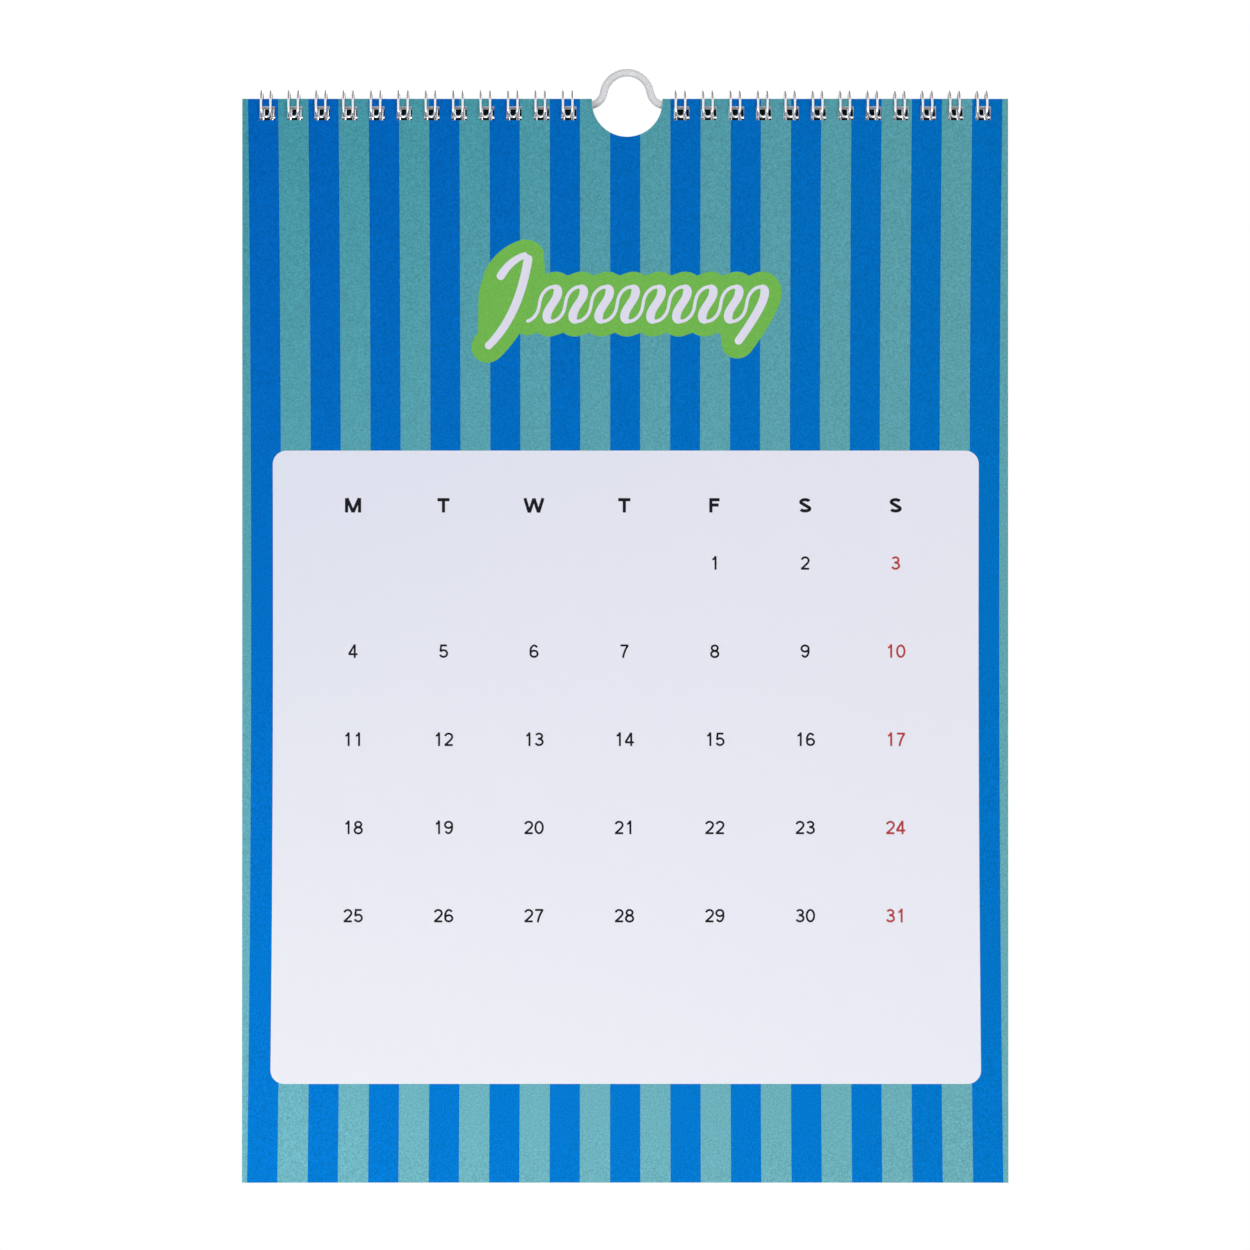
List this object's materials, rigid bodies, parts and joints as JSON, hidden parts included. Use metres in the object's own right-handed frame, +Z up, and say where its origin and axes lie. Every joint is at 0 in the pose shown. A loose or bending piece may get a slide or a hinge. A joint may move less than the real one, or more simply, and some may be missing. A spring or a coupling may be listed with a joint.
{
  "type": "wall calendar",
  "caption": "Portrait wall calendar of thin leaves and a back board on two twin-loop wire combs, with a wire hanger whose hump rises through a thumb cut.",
  "frame": {"origin": "the point of the hanger's hump that bears on the nail: the underside of its top, on the middle plane of the hanger wire", "axes": "+Z up along the page, from its bottom edge to the hanger; +Y into the wall, from the front of the page to its back; X across the page"},
  "size_m": [0.2366, 0.0096, 0.3446],
  "materials": {
    "coated_wire": "steel wire with a smooth white coating",
    "binding_wire": "round steel wire with a bright silver coating",
    "printed_leaf": "coated paper printed with blue and teal stripes, a pale panel, plain numbers and a green patch",
    "leaf_block": "coated white paper, cut edges",
    "board": "solid grey board, uncoated"
  },
  "bodies": {
    "hanger": {"hanger": "coated_wire"},
    "binding": {"wire_comb_left": "binding_wire", "wire_comb_right": "binding_wire", "rear_leaves": "leaf_block", "backing_board": "board"},
    "front_leaf": {"front_leaf": "printed_leaf"}
  },
  "joints": [
    {"name": "hanger_swing", "type": "hinge", "parent": "hanger", "child": "binding", "pos_m": [0, 0, -0.00895], "axis": [1, 0, 0], "range_deg": [-135, 0]},
    {"name": "front_leaf_turn", "type": "hinge", "parent": "binding", "child": "front_leaf", "pos_m": [0, -0.00269, -0.00917], "axis": [1, 0, 0], "range_deg": [-110, 0]}
  ]
}
